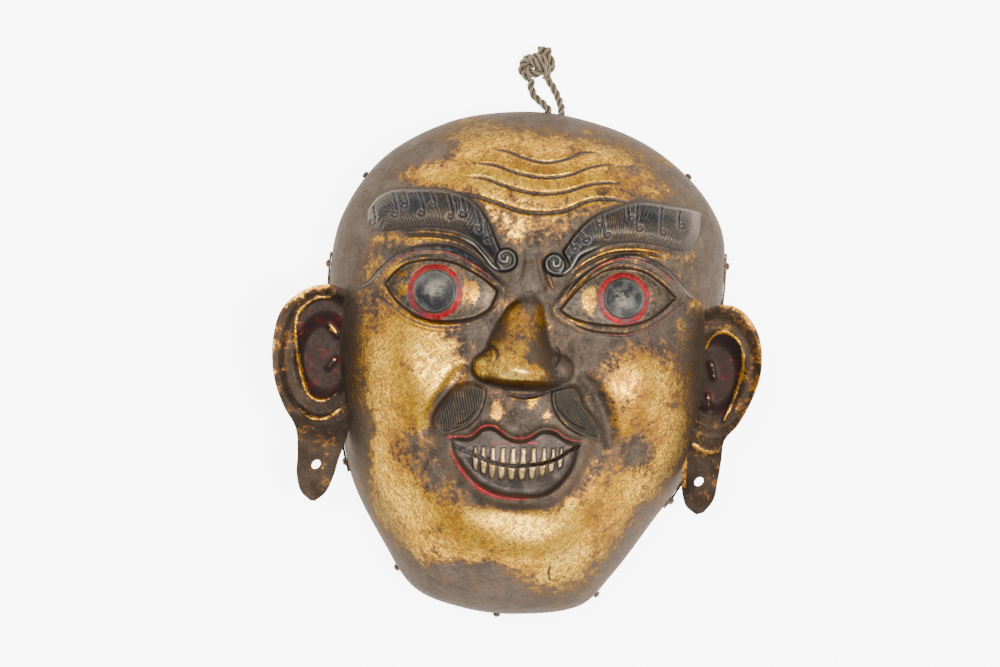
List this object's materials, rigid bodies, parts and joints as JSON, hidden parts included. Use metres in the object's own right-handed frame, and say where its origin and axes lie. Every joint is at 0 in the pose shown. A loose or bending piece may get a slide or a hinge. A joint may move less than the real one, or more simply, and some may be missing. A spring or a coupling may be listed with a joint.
{
  "type": "tibetan cham mask",
  "caption": "Hollow hammered gilt-copper dance mask of a grinning bald face, with long-lobed sheet ears, rivets round the rim and a knotted rope loop.",
  "frame": {"origin": "on the ground under the middle of the mask's box, without its rope loop and knot", "axes": "+Z out of the face, the way it looks; +Y to the top of the head; +X to the right of a person looking at the face"},
  "size_m": [0.393, 0.4725, 0.1502],
  "materials": {
    "worn_gilt_copper": "worn gilding over brown patina, painted eyes, brows and lips",
    "dark_gilt_copper": "dark brown patina with worn gold edges and dark red dishes",
    "darkened_copper": "dark brown patina",
    "twisted_hemp": "coarse twisted rope, matt"
  },
  "bodies": {
    "root": {"face_shell": "worn_gilt_copper", "ear_left": "dark_gilt_copper", "ear_right": "dark_gilt_copper", "side_strip_left": "darkened_copper", "side_strip_right": "darkened_copper", "rivet_01": "darkened_copper", "rivet_02": "darkened_copper", "rivet_03": "darkened_copper", "rivet_04": "darkened_copper", "rivet_05": "darkened_copper", "rivet_06": "darkened_copper", "rivet_07": "darkened_copper", "rivet_08": "darkened_copper", "rivet_09": "darkened_copper", "rivet_10": "darkened_copper", "rivet_11": "darkened_copper", "hanging_rope": "twisted_hemp", "rope_knot": "twisted_hemp"}
  },
  "joints": []
}
